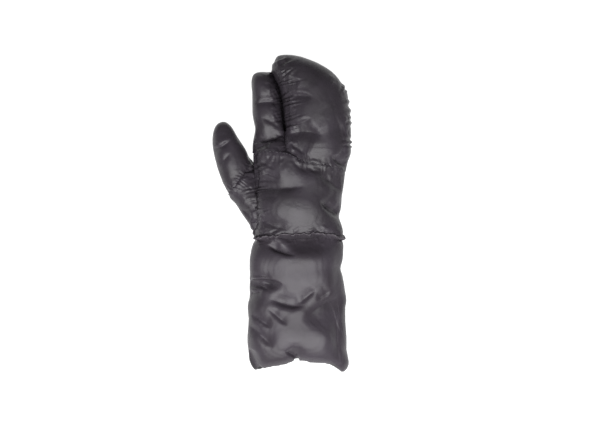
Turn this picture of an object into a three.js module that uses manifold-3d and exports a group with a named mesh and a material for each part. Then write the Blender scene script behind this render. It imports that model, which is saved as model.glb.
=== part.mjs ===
// An insulated lobster claw mitt for a right hand: one stall for the index finger, one pocket for
// the other three, a thumb stall on its gusset, and a long gauntlet cuff behind a gathered wrist welt.
// Every part is a padded wall round a hollow, and the hollows run on into each other.
// Millimetres. The mitt lies on its palm: +Y to the fingertips, +X to the little finger, +Z up.
// Places are worked out from the middle of the cuff's mouth on the surface. The last lines move the
// whole mitt so that the origin is under the middle of it.
import * as THREE from "three";
import { mergeVertices } from "three/addons/utils/BufferGeometryUtils.js";
import Module from "manifold-3d";

const wasm = await Module();
wasm.setup();

// Driving sizes of the gauntlet cuff.
const cuffLength = 168;
const cuffWidth = 124;
const cuffThickness = 60;
const cuffWall = 8;
const hemNotch = 17; // how far the tacked middle of the hem is drawn up past its lowest corner
const hemReach = 50; // how far up the cuff the drawn-up hem fades out
const hemRoll = 7; // length over which the edge of the hem is rolled round

// Driving sizes of the wrist and its welt.
const wristWidth = 109;
const wristThickness = 44;
const wristLift = 3; // the nipped wrist lies this far above the surface
const wristShift = 2.5; // and this far to the little-finger side of the cuff's middle
const weltBreadth = 4;
const weltStand = 2; // how far the welt stands out of the nip
const weltNub = 1.5; // how much further its tucked end stands out at the little-finger side
const gatherCount = 18;
const gatherHeight = 0.3; // share of the welt's stand by which its gathers rise and fall
const nubSpread = 0.15; // how far the nub reaches, as the sine of half its angle from the right end

// Driving sizes of the hand.
const handLength = 90;
const palmWidth = 122;
const handThickness = 58;
const handWall = 8;

// Driving sizes of the fingers, from the knuckle seam.
const knuckleLift = 1.5; // the seam lies this far above the surface
const knuckleLiftFrom = 0.85; // share of the hand's length at which its underside starts to rise
const pocketLength = 135;
const pocketThickness = 56;
const indexLength = 114;
const indexThickness = 41;
const fingerWall = 6;
const forkGap = 3; // open slit between the index stall and the pocket
const webGap = 0.5; // the same slit below the fork, where the two are sewn together
const webLength = 34;

// Driving sizes of the thumb and its gusset.
const thumbLength = 79;
const thumbWidth = 39;
const thumbThickness = 37;
const thumbWall = 5.5;
const thumbLean = 17.7; // degrees from the fingers' direction
const thumbRise = 66; // how far the middle of its base seam lies past the wrist
const thumbOut = 0.9; // that middle lies this share of half the thumb's width off the hand's edge
const gussetInset = 0.57; // the gusset starts this share of half the wrist from its middle
const gussetHollowFrom = 0.12; // share of its length at which its hollow meets the hand's
const gussetThickness = 39; // at the wrist; it takes the thumb's own thickness at the other end
const gussetDrop = 4; // how far the gusset runs on past the wrist before it is trimmed

const seamGap = 0.3; // clearance at each sewn seam
const floorFlat = 0.09; // share of a section's thickness pressed flat by the surface
const slant = -0.21; // the knuckle seam falls this much for each millimetre to the right
const slantFade = 90; // and its slant has faded out this far along the fingers
const around = 40; // points round a section of the cuff or hand
const aroundFinger = 32;
const aroundThumb = 28;
const upperShare = 0.62; // share of those points that lie on the upper side
const pointsPerGather = 4;
const hollowStep = 3; // the hollows follow every third of the outside's sections
const cuffHollowStep = 4;
const foldsFullFrom = 0.6; // share of a section's half height from which its folds are at full depth

// A row of a section table. at runs from 0 to 1 along the piece; left and right are shares of the
// piece's half width and thick a share of its thickness.
const cuffRows = [
  { at: 0.0, left: -0.9, right: 1.02, thick: 0.74 },
  { at: 0.03, left: -0.94, right: 1.04, thick: 0.82 },
  { at: 0.07, left: -0.97, right: 1.04, thick: 0.9 },
  { at: 0.12, left: -0.99, right: 1.02, thick: 0.95 },
  { at: 0.17, left: -1.0, right: 1.0, thick: 0.98 },
  { at: 0.22, left: -1.01, right: 1.0, thick: 0.99 },
  { at: 0.27, left: -1.01, right: 1.0, thick: 1.0 },
  { at: 0.32, left: -1.0, right: 0.99, thick: 1.0 },
  { at: 0.37, left: -0.99, right: 0.98, thick: 0.99 },
  { at: 0.41, left: -0.99, right: 0.975, thick: 0.98 },
  { at: 0.45, left: -1.0, right: 0.975, thick: 0.98 },
  { at: 0.49, left: -1.01, right: 0.98, thick: 0.97 },
  { at: 0.53, left: -1.0, right: 1.0, thick: 0.96 },
  { at: 0.56, left: -0.97, right: 0.995, thick: 0.95 },
  { at: 0.6, left: -0.965, right: 0.975, thick: 0.96 },
  { at: 0.64, left: -0.97, right: 0.96, thick: 0.97 },
  { at: 0.68, left: -0.96, right: 0.94, thick: 0.99 },
  { at: 0.73, left: -0.95, right: 0.915, thick: 1.0 },
  { at: 0.78, left: -0.95, right: 0.87, thick: 1.0 },
  { at: 0.82, left: -0.945, right: 0.905, thick: 0.99 },
  { at: 0.87, left: -0.93, right: 0.925, thick: 0.97 },
  { at: 0.92, left: -0.92, right: 0.93, thick: 0.94 },
  { at: 0.965, left: -0.895, right: 0.94, thick: 0.88 },
];

// How far the hem is drawn up across the cuff, in shares of half its width and of the notch.
const hemRows = [
  { at: -1.0, rise: 0.5 },
  { at: -0.9, rise: 0.22 },
  { at: -0.8, rise: 0.13 },
  { at: -0.66, rise: 0.26 },
  { at: -0.54, rise: 0.45 },
  { at: -0.28, rise: 0.6 },
  { at: -0.1, rise: 0.8 },
  { at: 0.02, rise: 1.0 },
  { at: 0.14, rise: 0.86 },
  { at: 0.34, rise: 0.78 },
  { at: 0.62, rise: 0.7 },
  { at: 0.76, rise: 0.42 },
  { at: 0.9, rise: 0.0 },
  { at: 1.04, rise: 0.22 },
];

const handRows = [
  { at: 0.05, left: -0.84, right: 0.93, thick: 0.9 },
  { at: 0.1, left: -0.84, right: 0.92, thick: 0.96 },
  { at: 0.16, left: -0.845, right: 0.9, thick: 1.0 },
  { at: 0.22, left: -0.85, right: 0.86, thick: 1.02 },
  { at: 0.28, left: -0.855, right: 0.85, thick: 1.03 },
  { at: 0.35, left: -0.86, right: 0.88, thick: 1.03 },
  { at: 0.43, left: -0.865, right: 0.9, thick: 1.01 },
  { at: 0.51, left: -0.87, right: 0.905, thick: 0.99 },
  { at: 0.59, left: -0.875, right: 0.91, thick: 0.97 },
  { at: 0.67, left: -0.885, right: 0.925, thick: 0.98 },
  { at: 0.76, left: -0.89, right: 0.945, thick: 0.98 },
  { at: 0.85, left: -0.9, right: 0.96, thick: 0.97 },
  { at: 0.94, left: -0.91, right: 0.975, thick: 0.93 },
];
const knuckleRow = { left: -0.92, right: 0.995, thick: 0.88 };

// The slit between index and pocket, in shares of the index's length and of half the palm. Past the
// index's tip it is the pocket's own edge.
const slitRows = [
  { at: 0.0, across: -0.23 },
  { at: 0.3, across: -0.24 },
  { at: 0.36, across: -0.25 },
  { at: 0.44, across: -0.28 },
  { at: 0.56, across: -0.3 },
  { at: 0.7, across: -0.33 },
  { at: 0.8, across: -0.37 },
  { at: 0.87, across: -0.425 },
  { at: 0.93, across: -0.485 },
  { at: 1.0, across: -0.54 },
  { at: 1.05, across: -0.56 },
  { at: 1.1, across: -0.5 },
  { at: 1.15, across: -0.46 },
  { at: 1.18, across: -0.41 },
];

// drawn is how far the index's inner edge leaves the slit at the tip, as a share of half the palm.
const indexRows = [
  { at: 0.06, left: -0.92, thick: 0.98, drawn: 0 },
  { at: 0.13, left: -0.91, thick: 1.02, drawn: 0 },
  { at: 0.2, left: -0.89, thick: 1.0, drawn: 0 },
  { at: 0.27, left: -0.87, thick: 0.97, drawn: 0 },
  { at: 0.34, left: -0.87, thick: 0.98, drawn: 0 },
  { at: 0.42, left: -0.9, thick: 1.01, drawn: 0 },
  { at: 0.5, left: -0.92, thick: 1.02, drawn: 0 },
  { at: 0.6, left: -0.92, thick: 0.98, drawn: 0 },
  { at: 0.68, left: -0.92, thick: 0.96, drawn: 0 },
  { at: 0.76, left: -0.925, thick: 1.0, drawn: 0 },
  { at: 0.83, left: -0.94, thick: 0.97, drawn: 0 },
  { at: 0.89, left: -0.945, thick: 0.9, drawn: 0 },
  { at: 0.94, left: -0.93, thick: 0.76, drawn: 0 },
  { at: 0.97, left: -0.9, thick: 0.57, drawn: 0.01 },
  { at: 0.99, left: -0.84, thick: 0.35, drawn: 0.06 },
];
const indexTipAcross = -0.72;

const pocketRows = [
  { at: 0.05, right: 1.015, thick: 0.95 },
  { at: 0.1, right: 1.04, thick: 0.99 },
  { at: 0.15, right: 1.08, thick: 1.01 },
  { at: 0.2, right: 1.11, thick: 1.02 },
  { at: 0.26, right: 1.11, thick: 1.01 },
  { at: 0.33, right: 1.105, thick: 1.0 },
  { at: 0.4, right: 1.11, thick: 0.99 },
  { at: 0.47, right: 1.095, thick: 0.98 },
  { at: 0.54, right: 1.08, thick: 0.97 },
  { at: 0.6, right: 1.045, thick: 0.96 },
  { at: 0.66, right: 1.03, thick: 0.95 },
  { at: 0.72, right: 0.95, thick: 0.94 },
  { at: 0.78, right: 0.84, thick: 0.91 },
  { at: 0.84, right: 0.7, thick: 0.86 },
  { at: 0.88, right: 0.57, thick: 0.8 },
  { at: 0.92, right: 0.41, thick: 0.7 },
  { at: 0.95, right: 0.25, thick: 0.58 },
  { at: 0.975, right: 0.1, thick: 0.43 },
  { at: 0.99, right: -0.02, thick: 0.28 },
];
const pocketTipAcross = -0.22;

// Thumb sections lie across its leaning axis; shift moves a section to the outer side.
const thumbRows = [
  { at: 0.0, width: 0.95, thick: 0.94, shift: 0.02 },
  { at: 0.09, width: 0.99, thick: 1.0, shift: 0.02 },
  { at: 0.2, width: 1.04, thick: 1.02, shift: 0.02 },
  { at: 0.3, width: 1.06, thick: 1.02, shift: 0.02 },
  { at: 0.4, width: 1.05, thick: 1.02, shift: 0.03 },
  { at: 0.5, width: 0.99, thick: 1.01, shift: 0.045 },
  { at: 0.6, width: 0.92, thick: 0.99, shift: 0.06 },
  { at: 0.7, width: 0.83, thick: 0.95, shift: 0.065 },
  { at: 0.8, width: 0.73, thick: 0.86, shift: 0.05 },
  { at: 0.88, width: 0.61, thick: 0.73, shift: 0.03 },
  { at: 0.94, width: 0.46, thick: 0.56, shift: 0.02 },
  { at: 0.975, width: 0.31, thick: 0.38, shift: 0.01 },
  { at: 0.99, width: 0.2, thick: 0.25, shift: 0.01 },
];
const thumbSeamSlant = 0.56; // its base seam runs up towards the palm
const thumbSlantFade = 0.75; // and the slant has faded out at this share of its length

// The gusset's width at shares of its length, in shares of the thumb's.
const gussetRows = [
  { at: 0.0, width: 0.92 },
  { at: 0.35, width: 0.995 },
  { at: 0.6, width: 1.013 },
  { at: 0.82, width: 1.0 },
];

// The welt's section: how far it stands out across its breadth.
const weltRows = [
  { at: 0, stand: 0.3 },
  { at: 0.3, stand: 1 },
  { at: 0.7, stand: 1 },
  { at: 1, stand: 0.3 },
];

// How far the middle of a fingertip stands over the surface, as a share of the thickness.
const tipHeight = 0.43;

// How square the sections are: 2 is an ellipse, and more is squarer.
const squareness = { cuff: 2.25, hand: 2.4, sideBySide: 6 }; // the last is the fingers' below the fork
const ownFormPast = 1.3; // the fingers have their own form at this many web lengths

// Folds pressed into the upper side. across and up are shares of the half width and of the length
// of the piece; depth is a share of its thickness and breadth a share of its half width.
const cuffFolds = [
  { across: -0.97, up: 0.66, toAcross: -0.38, toUp: 0.645, depth: 0.09, breadth: 0.07 },
  { across: -0.46, up: 0.545, toAcross: 0.16, toUp: 0.515, depth: 0.08, breadth: 0.08 },
  { across: 0.12, up: 0.555, toAcross: 0.5, toUp: 0.635, depth: 0.05, breadth: 0.09 },
  { across: 0.9, up: 0.53, toAcross: 0.14, toUp: 0.35, depth: 0.06, breadth: 0.15 },
  { across: -0.84, up: 0.42, toAcross: -0.56, toUp: 0.35, depth: 0.05, breadth: 0.08 },
  { across: -0.86, up: 0.32, toAcross: -0.56, toUp: 0.23, depth: 0.05, breadth: 0.08 },
  { across: -0.46, up: 0.93, toAcross: -0.06, toUp: 0.9, depth: 0.06, breadth: 0.08 },
  { across: 0.78, up: 0.93, toAcross: 0.8, toUp: 0.55, depth: 0.05, breadth: 0.09 },
  { across: 0.0, up: 0.0, toAcross: -0.04, toUp: 0.1, depth: 0.12, breadth: 0.13 },
];

const handFolds = [
  { across: 0.6, up: 0.42, toAcross: 0.86, toUp: 0.28, depth: 0.08, breadth: 0.08 },
  { across: 0.58, up: 0.76, toAcross: 0.86, toUp: 0.62, depth: 0.05, breadth: 0.08 },
  { across: -0.78, up: 0.64, toAcross: 0.1, toUp: 0.62, depth: 0.035, breadth: 0.08 },
  { across: -0.72, up: 0.2, toAcross: -0.24, toUp: 0.12, depth: 0.05, breadth: 0.09 },
];

const pocketFolds = [
  { across: -0.22, up: 0.29, toAcross: 0.34, toUp: 0.31, depth: 0.06, breadth: 0.09 },
  { across: -0.3, up: 0.6, toAcross: 0.2, toUp: 0.61, depth: 0.04, breadth: 0.08 },
  { across: -0.06, up: 0.2, toAcross: 0.18, toUp: 0.08, depth: 0.06, breadth: 0.09 },
];

const indexFolds = [
  { across: -0.92, up: 0.19, toAcross: -0.26, toUp: 0.24, depth: 0.1, breadth: 0.09 },
  { across: -0.92, up: 0.67, toAcross: -0.36, toUp: 0.68, depth: 0.06, breadth: 0.08 },
];

const thumbFolds = [
  { across: -0.9, up: 0.76, toAcross: 0.1, toUp: 0.82, depth: 0.06, breadth: 0.2 },
  { across: -0.5, up: 0.14, toAcross: 0.5, toUp: 0.1, depth: 0.06, breadth: 0.2 },
];

const radians = THREE.MathUtils.degToRad;
const mix = THREE.MathUtils.lerp;
const ease = THREE.MathUtils.smoothstep;

// Straight-line reading of a table's column at a place along it.
function readTable(rows, column, at) {
  const last = rows.length - 1;
  if (at <= rows[0].at) return rows[0][column];
  if (at >= rows[last].at) return rows[last][column];
  const k = rows.findIndex((row) => row.at > at);
  const [a, b] = [rows[k - 1], rows[k]];
  return mix(a[column], b[column], (at - a.at) / (b.at - a.at));
}

// How deep the folds of a table press in at a place, in shares of the thickness.
function foldDepth(folds, across, up, lengthPerHalfWidth) {
  let depth = 0;
  for (const fold of folds) {
    const runX = fold.toAcross - fold.across;
    const runY = (fold.toUp - fold.up) * lengthPerHalfWidth;
    const x = across - fold.across;
    const y = (up - fold.up) * lengthPerHalfWidth;
    const run = Math.hypot(runX, runY);
    const along = (x * runX + y * runY) / run;
    const off = Math.abs(x * runY - y * runX) / run;
    const past = Math.max(0, -along, along - run);
    depth += fold.depth * Math.exp(-((off / fold.breadth) ** 2) - (past / fold.breadth) ** 2);
  }
  return depth;
}

// Angles round a section, anticlockwise from its right end, closer together on the upper side.
function anglesRound(count) {
  return Array.from({ length: count }, (_, k) => {
    const turn = k / count;
    if (turn < upperShare) return (Math.PI * turn) / upperShare;
    return Math.PI * (1 + (turn - upperShare) / (1 - upperShare));
  });
}

// One section: a rounded form of the given half width and thickness, pressed flat where it meets the
// surface. lift is how far its underside stays above the surface, and axis the least height of its
// middle. wall sets the points in by a wall's thickness. reach(x, wall) gives half its height at x
// where that isn't the same all over. place(x, height) puts each point into the mitt.
function ring(count, form, place) {
  const { half, middle, thick, lift = 0, axis = 0, power = squareness.cuff, wall = 0, press, reach } = form;
  const tall = thick * (1 + floorFlat);
  const centre = form.centre ?? Math.max(lift + tall / 2 - thick * floorFlat, axis);
  return anglesRound(count).map((angle) => {
    const [c, s] = [Math.cos(angle), Math.sin(angle)];
    const size = (Math.abs(c) ** power + Math.abs(s) ** power) ** (1 / power);
    const x = middle + ((half - wall) * c) / size;
    const height = s / size;
    const pressed = press ? press(x, angle) * ease(height, 0, foldsFullFrom) * thick : 0;
    const halfTall = reach ? reach(x, wall) : tall / 2 - wall;
    return place(x, Math.max(centre + halfTall * height - pressed, lift + wall));
  });
}

// A closed wall from rings of its outside and inside. Without a tip both ends are open, and with
// one, the last points given for each side close it.
function paddedWall(outside, inside, tips) {
  const count = outside[0].length;
  const points = [...outside.flat(), ...inside.flat()];
  const index = [];
  const insideStart = outside.length * count;
  const quad = (a, b, c, d) => index.push(a, b, c, a, c, d);
  const skin = (start, rings, outward) => {
    for (let r = 0; r + 1 < rings; r++)
      for (let k = 0; k < count; k++) {
        const a = start + r * count + k;
        const b = start + r * count + ((k + 1) % count);
        if (outward) quad(a, a + count, b + count, b);
        else quad(a, b, b + count, a + count);
      }
  };
  const cap = (start, rings, tip, outward) => {
    points.push(tip);
    for (let k = 0; k < count; k++) {
      const a = start + (rings - 1) * count + k;
      const b = start + (rings - 1) * count + ((k + 1) % count);
      index.push(...(outward ? [a, points.length - 1, b] : [a, b, points.length - 1]));
    }
  };
  skin(0, outside.length, true);
  skin(insideStart, inside.length, false);
  for (let k = 0; k < count; k++) {
    const n = (k + 1) % count;
    quad(k, n, insideStart + n, insideStart + k);
  }
  if (tips) {
    cap(0, outside.length, tips.outside, true);
    cap(insideStart, inside.length, tips.inside, false);
  } else {
    const [o, i] = [(outside.length - 1) * count, insideStart + (inside.length - 1) * count];
    for (let k = 0; k < count; k++) {
      const n = (k + 1) % count;
      quad(o + k, i + k, i + n, o + n);
    }
  }
  return geometryOf(points, index);
}

// A form closed at both ends by a flat fan.
function closedForm(rings) {
  const count = rings[0].length;
  const points = rings.flat();
  const index = [];
  for (let r = 0; r + 1 < rings.length; r++)
    for (let k = 0; k < count; k++) {
      const a = r * count + k;
      const b = r * count + ((k + 1) % count);
      index.push(a, a + count, b + count, a, b + count, b);
    }
  for (const r of [0, rings.length - 1]) {
    const middle = rings[r].reduce((sum, p) => sum.add(p), new THREE.Vector3()).divideScalar(count);
    points.push(middle);
    for (let k = 0; k < count; k++) {
      const [a, b] = [r * count + k, r * count + ((k + 1) % count)];
      index.push(...(r === 0 ? [a, b] : [b, a]), points.length - 1);
    }
  }
  return geometryOf(points, index);
}

function geometryOf(points, index) {
  return new THREE.BufferGeometry()
    .setAttribute("position", new THREE.Float32BufferAttribute(points.flatMap((p) => p.toArray()), 3))
    .setIndex(index);
}

function solidFrom(geometry) {
  return new wasm.Manifold(
    new wasm.Mesh({
      numProp: 3,
      vertProperties: geometry.attributes.position.array,
      triVerts: new Uint32Array(geometry.index.array),
    }),
  );
}

function geometryFrom(solid) {
  const { vertProperties, triVerts } = solid.getMesh();
  return new THREE.BufferGeometry()
    .setAttribute("position", new THREE.BufferAttribute(vertProperties, 3))
    .setIndex(new THREE.BufferAttribute(triVerts, 1));
}

// Lengths along the mitt and half widths that more than one piece takes.
const weltStart = cuffLength + seamGap;
const handStart = weltStart + weltBreadth + seamGap;
const knuckleLine = handStart + handLength;
const halfPalm = palmWidth / 2;
const halfCuff = cuffWidth / 2;
const halfWrist = wristWidth / 2;
const halfThumb = thumbWidth / 2;

// The gauntlet cuff. Its hem is drawn up by the hem rows, which fades out over the hem's reach.
function cuffPlace(y) {
  const notch = (1 - ease(y, 0, hemReach)) * hemNotch;
  return (x, z) => new THREE.Vector3(x, y + notch * readTable(hemRows, "rise", x / halfCuff), z);
}

// The hem is rolled: both sides of its wall close in on the middle of the wall at the edge.
const rolledIn = 0.32; // share of the wall by which each side closes in
const hemRings = [0, 0.25, 0.6, 1]; // shares of the roll's length

function cuffRing(at, inner) {
  const roll = rolledIn * cuffWall * Math.max(0, 1 - (at * cuffLength) / hemRoll) ** 2;
  const left = readTable(cuffRows, "left", at);
  const right = readTable(cuffRows, "right", at);
  const form = {
    half: ((right - left) / 2) * halfCuff,
    middle: ((right + left) / 2) * halfCuff,
    thick: readTable(cuffRows, "thick", at) * cuffThickness,
    wall: inner ? cuffWall - roll : roll,
  };
  const lengthPerHalf = cuffLength / halfCuff;
  if (!inner) form.press = (x) => foldDepth(cuffFolds, x / halfCuff, at, lengthPerHalf);
  return ring(around, form, cuffPlace(at * cuffLength));
}

// The nipped ring where cuff, welt and hand meet.
function wristRing(y, wall, grow = 0, count = around, standAt = () => 0) {
  const form = {
    half: halfWrist + grow,
    middle: wristShift,
    thick: wristThickness + grow,
    lift: wristLift,
    wall,
  };
  const middle = wristLift + wristThickness / 2;
  const angles = anglesRound(count);
  return ring(count, form, (x, z) => new THREE.Vector3(x, y, z)).map((point, k) => {
    const out = new THREE.Vector2(point.x - wristShift, point.z - middle).normalize();
    const stand = standAt(angles[k], k);
    return point.add(new THREE.Vector3(out.x * stand, 0, out.y * stand));
  });
}

function gauntletCuff() {
  const rolled = hemRings.map((share) => (share * hemRoll) / cuffLength);
  const beyond = cuffRows.map((row) => row.at).filter((at) => at * cuffLength > hemRoll);
  const outside = [...rolled, ...beyond].map((at) => cuffRing(at, false));
  const inside = rolled.map((at) => cuffRing(at, true));
  const sparse = beyond.filter((at, k) => k % cuffHollowStep === cuffHollowStep - 1);
  sparse.forEach((at) => inside.push(cuffRing(at, true)));
  outside.push(wristRing(cuffLength, 0));
  inside.push(wristRing(cuffLength, cuffWall));
  return paddedWall(outside, inside);
}

// The welt: the gathered wrist seam, a narrow band that stands out of the nip. Its gathers raise
// and lower its crest, and its end is tucked in at the right.
function wristWelt() {
  const count = gatherCount * pointsPerGather;
  const crest = (angle, k) => {
    const gather = 1 + gatherHeight * Math.cos((2 * Math.PI * k) / pointsPerGather);
    const nub = weltNub * Math.exp(-((Math.sin(angle / 2) / nubSpread) ** 2));
    return weltStand * gather + nub;
  };
  const outside = weltRows.map(({ at, stand }) =>
    wristRing(weltStart + at * weltBreadth, 0, 0, count, (angle, k) => stand * crest(angle, k)),
  );
  const inside = [0, 1].map((at) => wristRing(weltStart + at * weltBreadth, cuffWall, 0, count));
  return paddedWall(outside, inside);
}

// The hand. grow sets its outside out, for cutting what seats on it.
function handRing(row, wall, grow = 0) {
  const lean = slant * ease(row.at, 0, 1);
  const form = {
    half: ((row.right - row.left) / 2) * halfPalm + grow,
    middle: ((row.right + row.left) / 2) * halfPalm,
    thick: row.thick * handThickness + grow,
    lift: knuckleLift * ease(row.at, knuckleLiftFrom, 1),
    wall,
    power: squareness.hand,
  };
  const lengthPerHalf = handLength / halfPalm;
  if (!wall) form.press = (x) => foldDepth(handFolds, x / halfPalm, row.at, lengthPerHalf);
  const place = (x, z) => new THREE.Vector3(x, handStart + row.at * handLength + lean * x, z);
  return ring(around, form, place);
}

function handForm(grow = 0) {
  const outside = [wristRing(handStart - grow, 0, grow)];
  const inside = [wristRing(handStart - grow, handWall)];
  handRows.forEach((row) => outside.push(handRing(row, 0, grow)));
  const sparse = handRows.filter((row, k) => k % hollowStep === hollowStep - 1);
  sparse.forEach((row) => inside.push(handRing(row, handWall)));
  const end = { ...knuckleRow, at: 1 + grow / handLength };
  outside.push(handRing(end, 0, grow));
  inside.push(handRing(end, handWall));
  return { outside, inside };
}

// Index and pocket stand on the knuckle seam, side by side along the slit.
function fingerPlace(y) {
  const lean = slant * (1 - ease(y, 0, slantFade));
  return (x, z) => new THREE.Vector3(x, knuckleLine + seamGap + y + lean * x, z);
}

function slitEdge(y, side) {
  const gap = y < webLength ? webGap : forkGap;
  return readTable(slitRows, "across", y / indexLength) * halfPalm + (side * gap) / 2;
}

// The hand's own section at the knuckles, drawn out to the outer edges of both fingers at y. The
// fingers start as parts of it, and have grown into forms of their own a little past the fork.
const knuckleTall = knuckleRow.thick * handThickness * (1 + floorFlat);
const knuckleCentre = knuckleLift + knuckleTall / 2 - knuckleRow.thick * handThickness * floorFlat;

function knuckleReach(x, y, wall) {
  const left = readTable([{ at: 0, left: knuckleRow.left }, ...indexRows], "left", y / indexLength);
  const right = readTable([{ at: 0, right: knuckleRow.right }, ...pocketRows], "right", y / pocketLength);
  const half = ((right - left) / 2) * halfPalm - wall;
  const across = Math.min(1, Math.abs(x - ((right + left) / 2) * halfPalm) / half);
  return (knuckleTall / 2 - wall) * (1 - across ** squareness.hand) ** (1 / squareness.hand);
}

function fingerRing({ left, right, thick, thickness, at, length, wall, folds }) {
  const y = at * length;
  const own = ease(y, 0, ownFormPast * webLength);
  const tall = thick * thickness * (1 + floorFlat);
  const ownCentre = Math.max(tall / 2 - thick * thickness * floorFlat, tipHeight * thickness);
  const lengthPerHalf = length / halfPalm;
  const form = {
    half: (right - left) / 2,
    middle: (right + left) / 2,
    thick: thick * thickness,
    centre: mix(knuckleCentre, ownCentre, own),
    lift: knuckleLift * (1 - own),
    power: mix(squareness.sideBySide, squareness.hand, own),
    reach: (x, inset) => mix(knuckleReach(x, y, inset), tall / 2 - inset, own),
    wall,
  };
  if (!wall) form.press = (x) => foldDepth(folds, x / halfPalm, at, lengthPerHalf);
  return ring(aroundFinger, form, fingerPlace(y));
}

function fingerStall({ base, rows, edges, tipAcross, ...sizes }) {
  const { length, thickness } = sizes;
  const section = (row, wall) => fingerRing({ ...sizes, ...row, ...edges(row), wall });
  const outside = [base, ...rows].map((row) => section(row, 0));
  const roomy = rows.filter((row) => (1 - row.at) * length > 2 * fingerWall);
  const hollow = roomy.filter((row, k) => k % hollowStep === 1 || k === roomy.length - 1);
  const inside = [base, ...hollow].map((row) => section(row, fingerWall));
  const tip = (y) => fingerPlace(y)(tipAcross * halfPalm, tipHeight * thickness);
  return paddedWall(outside, inside, {
    outside: tip(length),
    inside: tip(length - fingerWall),
  });
}

function indexStall() {
  return fingerStall({
    base: { at: 0, left: knuckleRow.left, thick: indexRows[0].thick, drawn: 0 },
    rows: indexRows,
    length: indexLength,
    thickness: indexThickness,
    folds: indexFolds,
    tipAcross: indexTipAcross,
    edges: (row) => ({
      left: row.left * halfPalm,
      right: slitEdge(row.at * indexLength, -1) - row.drawn * halfPalm,
    }),
  });
}

function fingerPocket() {
  return fingerStall({
    base: { at: 0, right: knuckleRow.right, thick: pocketRows[0].thick },
    rows: pocketRows,
    length: pocketLength,
    thickness: pocketThickness,
    folds: pocketFolds,
    tipAcross: pocketTipAcross,
    edges: (row) => ({
      left: slitEdge(row.at * pocketLength, 1),
      right: row.right * halfPalm,
    }),
  });
}

// The gusset leads from the wrist to the thumb's oblique seam, beside the edge of the hand.
const thumbDirection = new THREE.Vector2(-Math.sin(radians(thumbLean)), Math.cos(radians(thumbLean)));
const handEdge = readTable(handRows, "left", thumbRise / handLength) * halfPalm;
const thumbBase = new THREE.Vector2(handEdge - thumbOut * halfThumb, handStart + thumbRise);
const gussetRoot = new THREE.Vector2(wristShift - gussetInset * halfWrist, handStart);
const gussetDirection = thumbBase.clone().sub(gussetRoot).normalize();
const gussetLength = thumbBase.distanceTo(gussetRoot);

// Puts a section's points across a leaning axis, with its plane turned by an oblique seam.
function leaningPlace(start, direction, along, oblique) {
  return (x, z) => {
    const far = along + oblique * x;
    return new THREE.Vector3(
      start.x + direction.x * far + direction.y * x,
      start.y + direction.y * far - direction.x * x,
      z,
    );
  };
}

function thumbRing(row, wall) {
  const form = {
    half: row.width * halfThumb,
    middle: -row.shift * thumbWidth,
    thick: row.thick * thumbThickness,
    axis: tipHeight * thumbThickness,
    wall,
  };
  const lengthPerHalf = thumbLength / halfThumb;
  if (!wall) form.press = (x) => foldDepth(thumbFolds, x / halfThumb, row.at, lengthPerHalf);
  const oblique = thumbSeamSlant * (1 - ease(row.at, 0, thumbSlantFade));
  const along = seamGap + row.at * thumbLength;
  return ring(aroundThumb, form, leaningPlace(thumbBase, thumbDirection, along, oblique));
}

function thumbStall() {
  const outside = thumbRows.map((row) => thumbRing(row, 0));
  const roomy = thumbRows.filter((row) => (1 - row.at) * thumbLength > 2 * thumbWall);
  const hollow = roomy.filter((row, k) => k % hollowStep === 0 || k === roomy.length - 1);
  const inside = hollow.map((row) => thumbRing(row, thumbWall));
  const last = thumbRows[thumbRows.length - 1];
  const tip = (along) => {
    const place = leaningPlace(thumbBase, thumbDirection, along, 0);
    return place(-last.shift * thumbWidth, tipHeight * thumbThickness);
  };
  return paddedWall(outside, inside, {
    outside: tip(thumbLength),
    inside: tip(thumbLength - thumbWall),
  });
}

// The gusset's rings, from a share of its length to the thumb's base ring, moved on by past.
function gussetRings(wall, from, past) {
  const rings = [from, ...gussetRows.slice(1).map((row) => row.at)].map((at) => {
    const along = Math.max(at, 0);
    const form = {
      half: halfThumb * readTable(gussetRows, "width", along),
      middle: 0,
      thick: mix(gussetThickness, thumbRows[0].thick * thumbThickness, along),
      lift: mix(wristLift, 0, along),
      wall,
    };
    const oblique = thumbSeamSlant * along;
    const place = leaningPlace(gussetRoot, gussetDirection, at * gussetLength, oblique);
    return ring(aroundThumb, form, place);
  });
  const onward = new THREE.Vector3(thumbDirection.x, thumbDirection.y, 0).multiplyScalar(past);
  rings.push(thumbRing(thumbRows[0], wall).map((point) => point.add(onward)));
  return rings;
}

// A plain block that holds everything past the wrist's seam.
function pastTheWrist() {
  const side = 4 * palmWidth;
  const block = new THREE.BoxGeometry(side, side, side).translate(0, side / 2 + handStart, 0);
  block.deleteAttribute("normal");
  block.deleteAttribute("uv");
  return mergeVertices(block);
}

const hand = handForm();
const handWallSolid = solidFrom(paddedWall(hand.outside, hand.inside));
const handWhole = solidFrom(closedForm(handForm(seamGap).outside));
const gussetOuter = solidFrom(closedForm(gussetRings(0, -gussetDrop / gussetLength, -seamGap)));
const gussetHollow = solidFrom(closedForm(gussetRings(thumbWall, gussetHollowFrom, thumbWall)));
const upperRegion = solidFrom(pastTheWrist());

const gusset = gussetOuter.subtract(gussetHollow).subtract(handWhole).intersect(upperRegion);
const handShell = handWallSolid.subtract(gussetHollow.intersect(upperRegion));

// The pieces and their cloth.
const shellColour = "#45434a";
const weltColour = "#3a383d";

function piece(name, geometry, colour) {
  const cloth = new THREE.MeshStandardMaterial({ color: colour, roughness: 0.5, metalness: 0 });
  const mesh = new THREE.Mesh(geometry, cloth);
  mesh.name = name;
  return mesh;
}

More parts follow.
